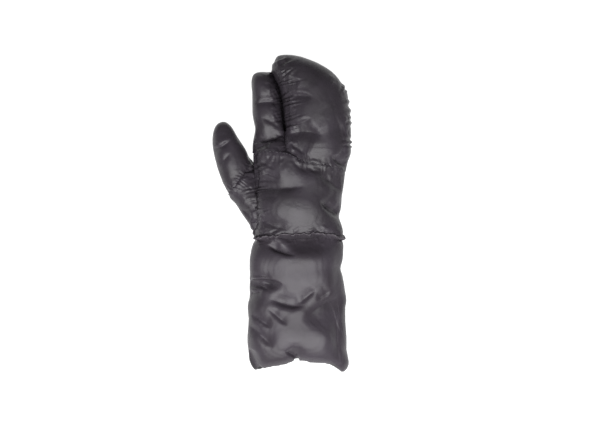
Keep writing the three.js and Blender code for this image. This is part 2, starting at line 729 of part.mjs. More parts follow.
const mitt = new THREE.Group();
mitt.add(
  piece("gauntlet_cuff", gauntletCuff(), shellColour),
  piece("wrist_welt", wristWelt(), weltColour),
  piece("hand_shell", geometryFrom(handShell), shellColour),
  piece("thumb_gusset", geometryFrom(gusset), shellColour),
  piece("thumb_stall", thumbStall(), shellColour),
  piece("index_stall", indexStall(), shellColour),
  piece("finger_pocket", fingerPocket(), shellColour),
);

// The origin: on the surface, under the middle of the mitt's box.
const box = new THREE.Box3().setFromObject(mitt);
const middle = box.getCenter(new THREE.Vector3());
mitt.position.set(-middle.x, -middle.y, -box.min.z);

export default mitt;
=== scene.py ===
"""A padded lobster claw mitt for a right hand, dressed in thin charcoal nylon over loose fill.

It lies on its palm on a pale floor and is seen from straight above, as in the photograph. Each padded
piece starts as an even net over its own solid, is drawn up to its seams, is filled by a cloth
simulation that its seams hold down, and then takes its swellings, folds and gathers. Lengths are in
metres, and the charts give plan places in the photograph's pixels.
"""

import math
from collections import namedtuple

import bmesh
import bpy
import numpy as np
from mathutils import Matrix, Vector
from mathutils.bvhtree import BVHTree


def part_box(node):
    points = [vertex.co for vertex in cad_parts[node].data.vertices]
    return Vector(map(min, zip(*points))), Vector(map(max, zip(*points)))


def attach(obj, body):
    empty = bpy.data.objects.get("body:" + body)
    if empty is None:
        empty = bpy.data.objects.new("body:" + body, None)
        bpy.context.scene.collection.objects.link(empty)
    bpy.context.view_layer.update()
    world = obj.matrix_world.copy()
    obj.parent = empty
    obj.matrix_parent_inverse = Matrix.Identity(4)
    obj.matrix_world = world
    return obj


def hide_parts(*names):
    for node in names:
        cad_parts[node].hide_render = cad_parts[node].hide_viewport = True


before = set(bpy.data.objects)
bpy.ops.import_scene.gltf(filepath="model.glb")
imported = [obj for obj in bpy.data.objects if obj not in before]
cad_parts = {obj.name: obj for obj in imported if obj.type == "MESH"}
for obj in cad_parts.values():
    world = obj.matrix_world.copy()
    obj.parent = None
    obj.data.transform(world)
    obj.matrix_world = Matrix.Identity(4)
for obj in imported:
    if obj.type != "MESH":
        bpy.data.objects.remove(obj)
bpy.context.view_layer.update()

MM = 0.001
# The photograph is 600 by 440 pixels. The middle of the mitt's box lies at PHOTO_MIDDLE there.
PHOTO_SIZE = (600, 440)
PHOTO_MIDDLE = (281.75, 213.4)
PIXEL = 1.25 * MM

NET = 2.2 * MM  # side of the simulated net's squares
SIM_FRAMES = 24
SIM_CAP = 6 * MM  # the furthest that the simulation may move a point
SIDEWAYS = 0.4  # the share of its sideways move that a point keeps, so that the outline stays
EVENING = 60  # rounds of smoothing that take the net's steps out of a filled piece
FOLD_CAP = 9 * MM  # no fold is deeper
HEM_FILL = 1.2 * MM  # the fill stands this much higher in the hem
HEM_RIDGE = 8 * MM  # how far in from the hem's edge that is, and its breadth
SEAM_FILL = 2 * MM  # the fill stands this much higher right beside a sewn seam
SEAM_REACH = 4 * MM  # how far from the seam that reaches
WRIST_SWELL = 7 * MM  # the hand's fill bulges this much above the nip of the wrist
WRIST_REACH = 11 * MM  # how far from the wrist's seam that reaches
HEM_CORNER = (251, 368)  # the hem's left corner, in pixels
CORNER_DRAWN = 15 * MM  # how far the hem's upper layer is drawn up there
BULGE = 5 * MM  # the most that the walls of the slit and of the thumb's crotch swell
SLIT_MEETS = 22 * MM  # below this height the slit's walls almost meet
CROTCH_MEETS = 18 * MM  # and below this height the walls of the thumb's crotch do
SEATED = 0.8 * MM  # how deep a sewn edge sits in its neighbour's surface


def plan(x, y):
    """The place in plan, in metres, of a pixel of the photograph. Works on arrays too."""
    middle_x, middle_y = PHOTO_MIDDLE
    return np.stack([(np.asarray(x) - middle_x) * PIXEL, (middle_y - np.asarray(y)) * PIXEL], -1)


def ease(x, low, high):
    """0 up to low, 1 from high on, and a smooth cubic rise between them."""
    t = np.clip((x - low) / (high - low), 0, 1)
    return t * t * (3 - 2 * t)


# Charted folds. The line runs from (x0, y0) through (xm, ym) to (x1, y1). A valley of the given
# depth lies along it. Its steep side is on the left as the line runs where ridge is positive and on
# the right where it is negative, and a ridge of that height lies beside it there. With a ridge of 0
# both sides are alike. Depth, ridge and breadth are in mm.
Fold = namedtuple("Fold", "x0 y0 xm ym x1 y1 depth ridge breadth")

# The crease between the hand and the gusset, from the thumb's crotch down. It runs in both.
CROTCH_CREASE = Fold(254.5, 156, 255.5, 172, 256.5, 190, 4.5, 0, 2.2)

FOLDS = {
    "gauntlet_cuff": [
        Fold(268, 245, 280, 251, 296, 256, 5.0, -0.8, 4),
        Fold(281, 240, 306, 241, 336, 240, 5.0, 0.5, 13),
        Fold(244, 283, 262, 280, 283, 284, 6.0, 1.0, 3.0),
        Fold(252, 276, 262, 275, 273, 278, 2.0, -0.5, 3),
        Fold(246, 291, 254, 292, 263, 289, 3.5, 0.8, 3),
        Fold(270, 298, 287, 303, 304, 305, 5.0, -1.0, 6),
        Fold(299, 302, 307, 296, 316, 288, 3.2, -0.3, 4.5),
        Fold(316, 300, 323, 295, 331, 289, 2.2, -0.3, 4),
        Fold(343, 300, 322, 306, 303, 322, 6.5, -1.5, 12),
        Fold(268, 307, 276, 314, 288, 324, 3.0, -0.6, 4),
        Fold(252, 313, 261, 319, 272, 327, 3.5, -0.6, 4),
        Fold(248, 324, 258, 331, 274, 347, 4.5, -1.0, 6),
        Fold(339, 308, 337, 335, 340, 366, 2.8, 0.5, 6),
        Fold(285, 349, 293, 354, 300, 358, 4.0, -0.5, 2.6),
    ],
    "hand_shell": [
        Fold(251, 188, 276, 189, 306, 187, 4.0, -0.8, 7),
        Fold(258, 182, 268, 181, 280, 183, 2.0, -0.5, 3.5),
        Fold(318, 200, 329, 208, 343, 217, 6.5, -1.2, 6),
        Fold(319, 175, 330, 183, 343, 192, 5.5, -1.0, 6),
        Fold(260, 218, 274, 226, 290, 231, 2.0, -0.8, 4.5),
        Fold(252, 237, 268, 233, 284, 229, 2.0, -0.5, 2.5),
        CROTCH_CREASE,
        Fold(262, 172, 270, 176, 281, 179, 2.5, -0.5, 3),
        Fold(260, 164, 268, 168, 276, 172, 2.0, -0.5, 3),
        Fold(292, 166, 310, 172, 328, 172, 3.0, -0.5, 6),
        Fold(262, 200, 268, 197, 280, 198, 2.0, -0.5, 6),
    ],
    "finger_pocket": [
        Fold(286, 137, 303, 132, 322, 137, 5.5, 1.5, 8),
        Fold(291, 146, 298, 151, 307, 156, 2.0, -0.4, 4.5),
        Fold(287, 98, 298, 96, 313, 99, 2.6, 1.2, 3.5),
        Fold(289, 126, 300, 124, 312, 119, 2.0, 0.8, 4),
        Fold(334, 116, 343, 138, 342, 162, 4.0, 0.5, 9),
        Fold(330, 157, 338, 164, 350, 168, 4.5, -0.8, 5),
        Fold(287, 85, 293, 82, 301, 83, 2.0, 0.8, 3),
    ],
    "index_stall": [
        Fold(251, 144, 268, 141, 286, 134, 5.5, -0.8, 5),
        Fold(253, 153, 264, 149, 274, 142, 4.0, -0.8, 4.5),
        Fold(253, 105, 267, 102, 281, 104, 2.0, 0.8, 3),
        Fold(261, 119, 270, 122, 281, 129, 1.5, -0.5, 4),
    ],
    "thumb_stall": [
        Fold(208, 149, 218, 148, 232, 139, 3.5, 0.5, 3),
        Fold(217, 166, 224, 161, 231, 152, 1.5, 0, 3),
        Fold(234, 187, 243, 179, 250, 164, 3.0, 0.8, 4),
    ],
    "thumb_gusset": [
        Fold(238, 208, 246, 214, 252, 224, 3.0, -0.8, 7),
        CROTCH_CREASE,
    ],
}

# Broad swellings of the fill: their place in pixels, their half length and half breadth in mm, the
# turn of their length from the picture's right in degrees, and how far they rise in mm.
Puff = namedtuple("Puff", "x y long broad turn rise")

PUFFS = {
    "gauntlet_cuff": [
        Puff(300, 257, 44, 12, 0, 4.5),
        Puff(258, 264, 12, 24, 0, 5.0),
        Puff(324, 272, 15, 28, 0, 3.0),
        Puff(260, 322, 12, 26, 0, 4.0),
        Puff(326, 336, 12, 22, 0, 3.0),
        Puff(278, 241.5, 20, 6, -32, 4.5),
        Puff(263, 285, 14, 3.6, 0, -5.0),
        Puff(264, 285, 7, 1.7, -25, 3.0),
        Puff(282, 332, 34, 16, -70, 1.2),
        Puff(318, 342, 24, 18, 65, 1.2),
    ],
    "hand_shell": [
        Puff(297, 202, 50, 22, 0, 3.0),
        Puff(285, 172, 34, 13, 0, 1.5),
    ],
    "finger_pocket": [
        Puff(322, 152, 30, 16, 0, 2.5),
        Puff(316, 100, 36, 26, 70, 1.5),
    ],
    "index_stall": [
        Puff(267, 128, 14, 10, 0, 0.8),
    ],
    "thumb_stall": [
        Puff(229, 163, 24, 12, -70, 1.5),
    ],
    "thumb_gusset": [
        Puff(247, 200, 16, 10, -60, 1.5),
    ],
}

# Two seams wander off their straight courses. Each row gives a place along them and how far they
# lie further up there, in pixels. The cloth about them wanders with them.
SEAM_WANDER = {
    "knuckle": [(248, 0), (257, 2), (268, 5), (280, 4.5), (286, 6), (297, 2.5), (306, 0.5),
                (314, 3), (325, 2.5), (335, 3), (347, 0)],
    "hand_wrist": [(250, -1), (262, -1), (271, 0.5), (276, 0.5), (282, 3), (291, 1.5), (300, 3.5),
                   (305, 2.5), (310, 2.7), (317, 5.5), (321, 4), (325, 3), (334, 2), (340, -0.5),
                   (346, -4)],
}
# How far from such a seam the cloth still wanders with it, and the heights between which this sets
# in. At the knuckle it holds at every height.
WANDER_SPAN = {"knuckle": (16 * MM, -2 * MM, -1 * MM), "hand_wrist": (WRIST_REACH, 22 * MM, 34 * MM)}

# Gathered seams, as plan lines in pixels. pitch is the mean spacing of the gathers, reach how far
# they run out from the seam, height how far they stand and nip how deep the seam itself lies, all
# in mm.
Seam = namedtuple("Seam", "points pitch reach height nip")

SEAMS = {
    "knuckle": Seam(
        [(250, 152.6), (268, 156.4), (285, 160), (318, 166.8), (351, 173.8)], 6.5, 9, 0.9, 0.8),
    "wrist": Seam([(246, 236.5), (354, 236.5)], 5.5, 6, 1.2, 0.5),
    "thumb_base": Seam([(225, 199), (238, 184), (254, 166)], 4.6, 8, 1.7, 1.0),
    "hand_edge": Seam([(254, 150), (255.5, 182), (259, 238)], 5.2, 12, 1.8, 1.2),
    "fourchette": Seam([(281, 58), (285, 75), (287, 95), (288, 112), (288.5, 131)],
                       5.2, 12, 2.4, 1.0),
    "index_side": Seam([(271, 76), (277, 92), (280, 112), (282, 130)], 5.0, 7, 1.3, 0.0),
    "pocket_side": Seam([(338, 78), (348, 92), (351, 108), (351.5, 126), (351, 150)],
                        9.0, 7, 2.6, 0.5),
    "web": Seam([(285.5, 134), (285.8, 146), (286.1, 160)], 5.0, 5, 1.0, 0.6),
}

# Which seams pull on which piece.
PULLED_BY = {
    "gauntlet_cuff": ["wrist"],
    "hand_shell": ["wrist", "knuckle", "hand_edge"],
    "thumb_gusset": ["wrist", "thumb_base", "hand_edge"],
    "thumb_stall": ["thumb_base"],
    "index_stall": ["knuckle", "index_side", "web"],
    "finger_pocket": ["knuckle", "fourchette", "pocket_side", "web"],
}


def coordinates(mesh):
    """All vertex places of a mesh, one row each."""
    places = np.empty(len(mesh.vertices) * 3, np.float32)
    mesh.vertices.foreach_get("co", places)
    return places.reshape(-1, 3).astype(float)


def set_coordinates(mesh, places):
    """Moves all vertices of a mesh to the given places."""
    mesh.vertices.foreach_set("co", np.ascontiguousarray(places, np.float32).ravel())
    mesh.update()


def normals(mesh):
    """All vertex normals of a mesh, one row each."""
    values = np.empty(len(mesh.vertices) * 3, np.float32)
    mesh.vertex_normals.foreach_get("vector", values)
    return values.reshape(-1, 3).astype(float)


def along_line(places, points):
    """For each place, its distance from a plan line and how far along the line it lies.

    The line's straight stretches are tried in turn, and the nearest one counts. The distance is
    positive on the left of the line as it runs.
    """
    points = np.asarray(points, float)
    best = np.full(len(places), np.inf)
    signed = np.zeros(len(places))
    along = np.zeros(len(places))
    covered = 0.0
    for start, end in zip(points[:-1], points[1:]):
        run = end - start
        length = np.hypot(*run)
        direction = run / length
        offset = places[:, :2] - start
        t = np.clip(offset @ direction, 0, length)
        gap = offset - t[:, None] * direction
        distance = np.hypot(gap[:, 0], gap[:, 1])
        nearer = distance < best
        side = np.sign(direction[0] * offset[:, 1] - direction[1] * offset[:, 0])
        best = np.where(nearer, distance, best)
        signed = np.where(nearer, distance * side, signed)
        along = np.where(nearer, covered + t, along)
        covered += length
    return signed, along, covered


def bent_line(fold, steps=9):
    """The plan points of a fold: a parabola through its start, middle and end."""
    t = np.linspace(0, 1, steps)[:, None]
    start, middle, end = plan([fold.x0, fold.xm, fold.x1], [fold.y0, fold.ym, fold.y1])
    bow = 2 * middle - (start + end) / 2
    return (1 - t) ** 2 * start + 2 * t * (1 - t) * bow + t**2 * end


def fold_height(places, folds):
    """How far the charted folds move each place outwards.

    Across its line a fold is the crease between two puffs: it falls to the line from both sides as an
    exponential, three times as steeply on its ridge's side, where a low bell-shaped ridge lies beside
    it. Both narrow and fade out towards the line's ends. Where folds meet, their depth levels off
    below FOLD_CAP as a hyperbolic tangent.
    """
    height = np.zeros(len(places))
    for fold in folds:
        signed, along, length = along_line(places, bent_line(fold))
        t = along / length
        fade = ease(t, -0.02, 0.35) * ease(1 - t, -0.02, 0.35)
        breadth = fold.breadth * MM * (0.55 + 0.45 * fade)
        towards = signed if fold.ridge >= 0 else -signed
        soft = 1.5 if fold.ridge else 1.0
        steep = 0.5 if fold.ridge else 1.0
        scaled = np.abs(towards) / (np.where(towards < 0, soft, steep) * breadth)
        valley = np.exp(0.35 - np.sqrt(scaled**2 + 0.35**2))
        ridge = 0.6 * np.exp(-(((towards - 1.3 * breadth) / (0.9 * breadth)) ** 2))
        height += (abs(fold.ridge) * ridge - fold.depth * valley) * fade * MM
    return np.where(height < 0, FOLD_CAP * np.tanh(height / FOLD_CAP), height)


def puff_height(places, puffs):
    """How far the swellings of the fill move each place outwards: each is a bell over an ellipse."""
    height = np.zeros(len(places))
    for puff in puffs:
        turn = math.radians(puff.turn)
        x, y = (places[:, :2] - plan(puff.x, puff.y)).T
        u = (x * math.cos(turn) + y * math.sin(turn)) / (puff.long * MM)
        v = (y * math.cos(turn) - x * math.sin(turn)) / (puff.broad * MM)
        height += puff.rise * MM * np.exp(-(u**2) - v**2)
    return height


def gather_height(places, seams):
    """How far the gathers and the nip of the seams move each place outwards.

    Along a seam the gathers are a cosine of the distance over the pitch, with its phase swung to and
    fro so that they come uneven, and shifted with the distance from the seam so that they slant. Away
    from the seam they fade as a bell curve whose breadth varies along it. The nip is a narrow bell.
    """
    height = np.zeros(len(places))
    for order, seam in enumerate(seams):
        x, y = zip(*seam.points)
        signed, along, length = along_line(places, plan(x, y))
        turn = 2 * math.pi * along / (seam.pitch * MM)
        swing = 1.7 * np.sin(turn / 3.7 + order) + 1.4 * np.sin(turn / 8.3 + 2 * order)
        lean = (1.4 + 0.8 * np.sin(turn / 4.9 + 3 * order)) * signed / (4 * MM)
        round_ridge = 0.5 * np.cos(turn + swing + lean)
        uneven = 0.6 + 0.45 * np.sin(turn / 2.6 + 5 * order) + 0.4 * np.sin(turn / 5.1 + order)
        uneven = np.clip(uneven, 0.05, 1.15)
        reach = seam.reach * MM * (0.5 + 0.5 * uneven)
        fade = np.exp(-((signed / reach) ** 2))
        ends = ease(along, -1 * MM, 6 * MM) * ease(length - along, -1 * MM, 6 * MM)
        nip = np.exp(-((signed / (2.6 * MM)) ** 2))
        height += (seam.height * round_ridge * fade * ends * uneven - seam.nip * nip) * MM
    return height


# Plan lines that the padded pieces are held down along, in pixels: their sewn seams, the slit, the
# thumb's crotch, the web between index and pocket, and the edge of the hem.
HELD_LINES = {
    "cuff_wrist": [(258, 237.3), (338, 237.3)],
    "hand_wrist": [(252, 235.5), (338, 235.5)],
    "knuckle": [(253, 153.27), (349, 173.43)],
    "thumb_base": [(224, 200), (255, 165)],
    "slit": [(286, 160), (285.6, 133.3), (285, 128), (283.6, 121), (282.6, 110.7), (281.2, 98.4),
             (279.2, 89.4), (276.5, 83), (273.6, 77.5), (270.9, 71.2)],
    "crotch": [(252, 160), (253.6, 168), (254.6, 186)],
    "web": [(286.1, 161), (285.5, 132)],
    "hem": [(249, 366), (257, 372), (270, 367), (298, 360), (328, 363.5), (343, 373), (350, 368)],
}

# The sewn seams that each piece is drawn up to, and the other lines that it is held down along.
DRAWN_TO = {
    "gauntlet_cuff": ["cuff_wrist"],
    "hand_shell": ["hand_wrist", "knuckle"],
    "thumb_gusset": ["hand_wrist", "thumb_base"],
    "thumb_stall": ["thumb_base"],
    "index_stall": ["knuckle", "web"],
    "finger_pocket": ["knuckle", "web"],
}
HELD_ALSO = {
    "gauntlet_cuff": ["hem"],
    "index_stall": ["slit"],
    "finger_pocket": ["slit"],
}

# How far each piece runs on past the lines of its seams, in mm. The longer one lies beneath.
LAP = {
    "gauntlet_cuff": 0.1,
    "hand_shell": 3.0,
    "thumb_gusset": 1.6,
    "thumb_stall": 0.1,
    "index_stall": 1.5,
    "finger_pocket": 0.8,
}


def seam_distance(places, names):
    """The plan distance of each place from the nearest of the named lines, and the way to it."""
    nearest = np.full(len(places), np.inf)
    way = np.zeros((len(places), 2))
    for name in names:
        points = plan(*zip(*HELD_LINES[name]))
        for start, end in zip(points[:-1], points[1:]):
            run = end - start
            t = np.clip((places[:, :2] - start) @ run / (run @ run), 0, 1)
            to_line = start + t[:, None] * run - places[:, :2]
            distance = np.hypot(to_line[:, 0], to_line[:, 1])
            nearer = distance < nearest
            nearest = np.where(nearer, distance, nearest)
            way = np.where(nearer[:, None], to_line, way)
    return nearest, way


def replace_mesh(piece, mesh):
    """Gives the piece another mesh and removes the one that it had."""
    old = piece.data
    piece.data = mesh
    bpy.data.meshes.remove(old)


def apply_modifier(piece, kind, **settings):
    """Adds one modifier with its settings and makes its result the piece's own mesh."""
    modifier = piece.modifiers.new(kind, kind)
    for name, value in settings.items():
        setattr(modifier, name, value)
    graph = bpy.context.evaluated_depsgraph_get()
    result = bpy.data.meshes.new_from_object(piece.evaluated_get(graph))
    piece.modifiers.clear()
    piece.vertex_groups.clear()
    replace_mesh(piece, result)


def outer_share(places, outward, axis):
    """1 on a piece's outer skin and 0 on the skin of its hollow, with a short blend between.

    The piece is cut into slices across its axis. A place is outside where its normal points away from
    the middle of its slice.
    """
    along = places @ axis
    slices = ((along - along.min()) / (6 * MM)).astype(int)
    count = np.bincount(slices)
    middle = np.stack([np.bincount(slices, places[:, k]) for k in range(3)], -1)
    middle = middle / np.maximum(count, 1)[:, None]
    away = places - middle[slices]
    away -= (away @ axis)[:, None] * axis
    away /= np.maximum(np.linalg.norm(away, axis=1), 1e-9)[:, None]
    return ease(np.sum(away * outward, axis=1), -0.1, 0.35)


# The way that each padded piece runs, which it is cut into slices across.
AXES = {
    "gauntlet_cuff": (0, 1, 0),
    "hand_shell": (0, 1, 0),
    "thumb_gusset": (-0.42, 0.91, 0),
    "thumb_stall": (-0.304, 0.953, 0),
    "index_stall": (-0.05, 1, 0),
    "finger_pocket": (0, 1, 0),
}


def net_over(node):
    """An even net over a node's solid, drawn up to the seams that the net's squares cut short."""
    source = bpy.data.objects[node]
    piece = bpy.data.objects.new(f"{node}_padded", source.data.copy())
    bpy.context.scene.collection.objects.link(piece)
    work = bmesh.new()
    work.from_mesh(piece.data)
    bmesh.ops.remove_doubles(work, verts=work.verts, dist=0.01 * MM)
    work.to_mesh(piece.data)
    work.free()
    apply_modifier(piece, "REMESH", mode="VOXEL", voxel_size=NET, adaptivity=0.0)
    apply_modifier(piece, "SMOOTH", factor=0.5, iterations=4)
    piece.data.materials.clear()

    # The net's own squares round off the piece's ends. Whatever lies within short of a seam is drawn
    # on to it, and the rest of the stretch is lengthened to follow.
    short = 2.6 * MM
    reach = 14 * MM
    places = coordinates(piece.data)
    distance, way = seam_distance(places, DRAWN_TO[node])
    stretched = (distance - short) * reach / (reach - short)
    left = np.where(distance < reach, np.maximum(stretched, -LAP[node] * MM), distance)
    places[:, :2] += way * ((distance - left) / np.maximum(distance, 1e-6))[:, None]
    set_coordinates(piece.data, places)
    return piece


def set_weights(piece, name, weights):
    """A vertex group of the piece with the weights rounded to twentieths."""
    group = piece.vertex_groups.new(name=name)
    levels = np.round(np.clip(weights, 0, 1) * 20).astype(int)
    for level in range(1, 21):
        group.add(np.flatnonzero(levels == level).tolist(), level / 20, "REPLACE")


def outer_of(node, piece):
    """The piece's places, its normals, and its outer share."""
    places = coordinates(piece.data)
    outward = normals(piece.data)
    axis = np.array(AXES[node], float)
    return places, outward, outer_share(places, outward, axis / np.linalg.norm(axis))


def hold(node, piece):
    """Marks where a piece is held while it is filled: its hollow, its seams and its underside."""
    places, _, outer = outer_of(node, piece)
    distance, _ = seam_distance(places, DRAWN_TO[node] + HELD_ALSO.get(node, []))
    held = np.maximum(1 - outer, 1 - ease(distance, 1.5 * MM, 10 * MM))
    held = np.maximum(held, 1 - ease(places[:, 2], 1.5 * MM, 8 * MM))
    set_weights(piece, "held", held)


def blow_up(pieces):
    """Fills the pieces by a cloth simulation and caps how far each point has moved."""
    scene = bpy.context.scene
    for piece in pieces:
        cloth = piece.modifiers.new("fill", "CLOTH")
        settings = cloth.settings
        settings.quality = 4
        settings.mass = 0.15
        settings.tension_stiffness = 12
        settings.compression_stiffness = 8
        settings.shear_stiffness = 4
        settings.bending_stiffness = 0.05
        settings.air_damping = 2
        settings.use_pressure = True
        settings.uniform_pressure_force = 3.0
        settings.shrink_min = -0.01
        settings.vertex_group_mass = "held"
        settings.effector_weights.gravity = 0
        cloth.collision_settings.use_collision = False
        cloth.point_cache.frame_start = 1
        cloth.point_cache.frame_end = SIM_FRAMES
    for number in range(1, SIM_FRAMES + 1):
        scene.frame_set(number)
    graph = bpy.context.evaluated_depsgraph_get()
    for piece in pieces:
        before = coordinates(piece.data)
        after = coordinates(piece.evaluated_get(graph).data)
        move = after - before
        move[:, :2] *= SIDEWAYS
        length = np.linalg.norm(move, axis=1)
        move *= (SIM_CAP * np.tanh(length / SIM_CAP) / np.maximum(length, 1e-9))[:, None]
        piece.modifiers.clear()
        set_coordinates(piece.data, before + move)
    scene.frame_set(1)


def gathered(node, piece):
    """Evens a filled piece, subdivides it once and lays its swellings, folds and gathers on it.

    The fill's extra height beside a seam, the hem and the wrist is a bell curve of the distance. Two
    attributes tell the material where it paints shade, on the lining inside, at the bottoms of deep
    folds and at the hem's turned-back corner, and where the cloth is slack.
    """
    places, outward, outer = outer_of(node, piece)
    distance, _ = seam_distance(places, DRAWN_TO[node])
    even = outer * ease(outward[:, 2], 0.0, 0.5) * ease(distance, 2 * MM, 8 * MM)
    set_weights(piece, "evened", even)
    apply_modifier(piece, "SMOOTH", factor=0.5, iterations=EVENING, vertex_group="evened",
                   use_x=False, use_y=False)
    apply_modifier(piece, "SUBSURF", levels=1, render_levels=1)
    places, outward, outer = outer_of(node, piece)
    upper = ease(outward[:, 2], -0.1, 0.6)
    folded = fold_height(places, FOLDS[node])
    charted = puff_height(places, PUFFS[node]) + folded
    distance, _ = seam_distance(places, ["knuckle", "thumb_base"])
    charted += SEAM_FILL * np.exp(-((distance / SEAM_REACH) ** 2))
    if node == "gauntlet_cuff":
        distance, _ = seam_distance(places, ["hem"])
        charted += HEM_FILL * np.exp(-(((distance - HEM_RIDGE) / HEM_RIDGE) ** 2))
    if node in ("hand_shell", "thumb_gusset"):
        distance, _ = seam_distance(places, ["hand_wrist"])
        charted += WRIST_SWELL * np.exp(-((distance / WRIST_REACH) ** 2))
    drawn = gather_height(places, [SEAMS[name] for name in PULLED_BY[node]])
    distance, _ = seam_distance(places, ["slit", "web", "crotch"])
    drawn *= np.maximum(ease(distance, 4 * MM, 8 * MM), upper)
    lying = ease(places[:, 2], 1 * MM, 10 * MM)
    places += outward * ((charted * upper + drawn * lying) * outer)[:, None]
    # A fold takes the lining along with it, so that it never cuts through the padded wall.
    high = places[:, 2].max()
    places[:, 2] += folded * (1 - outer) * ease(places[:, 2], 0.5 * high, 0.65 * high)
    places[:, 2] = np.maximum(places[:, 2], 0)
    set_coordinates(piece.data, places)
    if "knuckle" in DRAWN_TO[node]:
        wander(piece, "knuckle")
    if "wrist" in PULLED_BY[node]:
        wander(piece, "hand_wrist")
    piece.data.polygons.foreach_set("use_smooth", np.ones(len(piece.data.polygons), bool))
    # Painted shade: the lining inside, the bottoms of folds deeper than 3.5 mm and, on the cuff, the
    # hem's turned-back corner take a darker colour that stands in for the shade there.
    painted_shade_mask = piece.data.attributes.new("painted_shade", "FLOAT", "POINT")
    painted_shade_share = np.maximum(1 - outer, 0.85 * ease(-charted, 3.5 * MM, 7.5 * MM))
    if node == "gauntlet_cuff":
        painted_shade_share = np.maximum(painted_shade_share, hem_corner(places) * (1 - ease(places[:, 2], 24 * MM, 32 * MM)))
    painted_shade_mask.data.foreach_set("value", painted_shade_share.astype(np.float32))
    crinkled = piece.data.attributes.new("slack", "FLOAT", "POINT")
    slack = np.zeros(len(places))
    for name in PULLED_BY[node]:
        x, y = zip(*SEAMS[name].points)
        signed, _, _ = along_line(places, plan(x, y))
        slack = np.maximum(slack, 1 - ease(np.abs(signed), 3 * MM, 20 * MM))
    crinkled.data.foreach_set("value", slack.astype(np.float32))


def bulged_towards(piece, line, top):
    """Below the height top the wall beside a line swells to almost meet the one across it."""
    places = coordinates(piece.data)
    distance, way = seam_distance(places, [line])
    low = ease(places[:, 2], 2 * MM, 6 * MM) * (1 - ease(places[:, 2], top - 9 * MM, top))
    near = 1 - ease(distance, 5 * MM, 10 * MM)
    step = np.minimum(BULGE, distance + 0.15 * MM) * low * near
    places[:, :2] += way * (step / np.maximum(distance, 1e-6))[:, None]
    set_coordinates(piece.data, places)


def hem_corner(places):
    """1 at the left corner of the hem, falling off to either side and towards the wrist."""
    offset = places[:, :2] - plan(*HEM_CORNER)
    side = np.exp(-((offset[:, 0] / (11 * MM)) ** 2))
    return side * (1 - ease(offset[:, 1], 4 * MM, 30 * MM))


def turned_back_corner(piece):
    """Draws the upper layer of the hem up at the left corner, where the inside shows in painted shade.
    """
    places = coordinates(piece.data)
    near = hem_corner(places)
    upper = ease(places[:, 2], 22 * MM, 32 * MM)
    places[:, 1] += CORNER_DRAWN * near * upper
    set_coordinates(piece.data, places)


def wander(piece, line):
    """Moves the cloth about a seam up or down the mitt as the seam wanders."""
    reach, low, high = WANDER_SPAN[line]
    places = coordinates(piece.data)
    distance, _ = seam_distance(places, [line])
    x, rise = np.array(SEAM_WANDER[line], float).T
    rows = plan(x, 0 * x)[:, 0]
    # The mean over 12 mm rounds off the table's corners.
    amount = np.mean([np.interp(places[:, 0] + shift * MM, rows, rise * PIXEL)
                      for shift in np.linspace(-6, 6, 13)], axis=0)
    places[:, 1] += amount * np.exp(-((distance / reach) ** 2)) * ease(places[:, 2], low, high)
    set_coordinates(piece.data, places)


def seated_on(piece, target, name, reach):
    """Draws the edge of a piece on to its neighbour's surface where the two are sewn together."""
    places = coordinates(piece.data)
    tree = BVHTree.FromObject(target, bpy.context.evaluated_depsgraph_get())
    gaps = np.array([tree.find_nearest(place)[3] for place in places.tolist()])
    set_weights(piece, name, 1 - ease(gaps, 0.35 * reach, reach))
    apply_modifier(piece, "SHRINKWRAP", target=target, wrap_method="NEAREST_SURFACEPOINT",
                   wrap_mode="ABOVE_SURFACE", offset=-SEATED, vertex_group=name)


def wrist_loop(angle, stand):
    """Places round the nipped wrist: a superellipse of power 2.25, moved out by stand from its middle
    line and pressed level underneath."""
    low, high = (np.array(corner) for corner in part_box("wrist_welt"))
    half_x = (high[0] - low[0]) / 2 - 3.3 * MM
    half_z = (high[2] - low[2]) / 2 - 2.2 * MM
    c, s = np.cos(angle), np.sin(angle)
    size = (np.abs(c) ** 2.25 + np.abs(s) ** 2.25) ** (1 / 2.25)
    x = (half_x + stand) * c / size + (low[0] + high[0]) / 2 - 0.7 * MM
    z = (half_z + stand) * s / size + (low[2] + high[2]) / 2
    return x, np.maximum(z, low[2])


def ruffled_welt():
    """The gathered wrist seam: a thin lip carried round the wrist loop.

    Its section is an ellipse: nearly round underneath, and tall and thin above, where it stands up
    through the hand's fill. Going round, sums of sines with uneven phases raise and lower its crest
    and swing it to and fro along the mitt. The lip sinks towards the mitt's sides, and at the right
    its tucked end swells as a bell curve.
    """
    around, across = 900, 16
    turn = np.linspace(0, 2 * math.pi, around, endpoint=False)
    section = np.linspace(0, 2 * math.pi, across, endpoint=False)
    angle, phase = np.meshgrid(turn, section, indexing="ij")
    low, high = (np.array(corner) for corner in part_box("wrist_welt"))
    uneven = 1.4 * np.sin(5 * angle) + 1.1 * np.sin(13 * angle + 1) + 0.6 * np.sin(29 * angle)
    gather = 0.5 + 0.5 * np.sin(31 * angle + 3 * uneven)
    top = ease(np.sin(angle), 0.1, 0.7)
    crest = (0.4 + top * (1.6 + 1.0 * gather * (0.7 + 0.3 * np.sin(17 * angle)))) * MM
    crest += (WRIST_SWELL + 1.8 * MM) * top
    nub = 2.0 * MM * np.exp(-((np.sin((angle - 0.15) / 2) / 0.09) ** 2))
    stand = (crest + nub + 2.0 * MM) * np.cos(phase) - 1.2 * MM
    x, z = wrist_loop(angle, stand)
    breadth = (1.9 + 0.9 * gather + nub / MM * 0.5) * MM
    swing = (0.9 * np.sin(11 * angle + 2 * uneven) + 0.4 * np.sin(23 * angle + 3 * uneven)) * MM
    y = (low[1] + high[1]) / 2 - 0.3 * MM + breadth * np.sin(phase)
    y += swing * np.maximum(np.cos(phase), 0) * top
    return surface("gathered_welt", np.stack([x, y, z], -1))


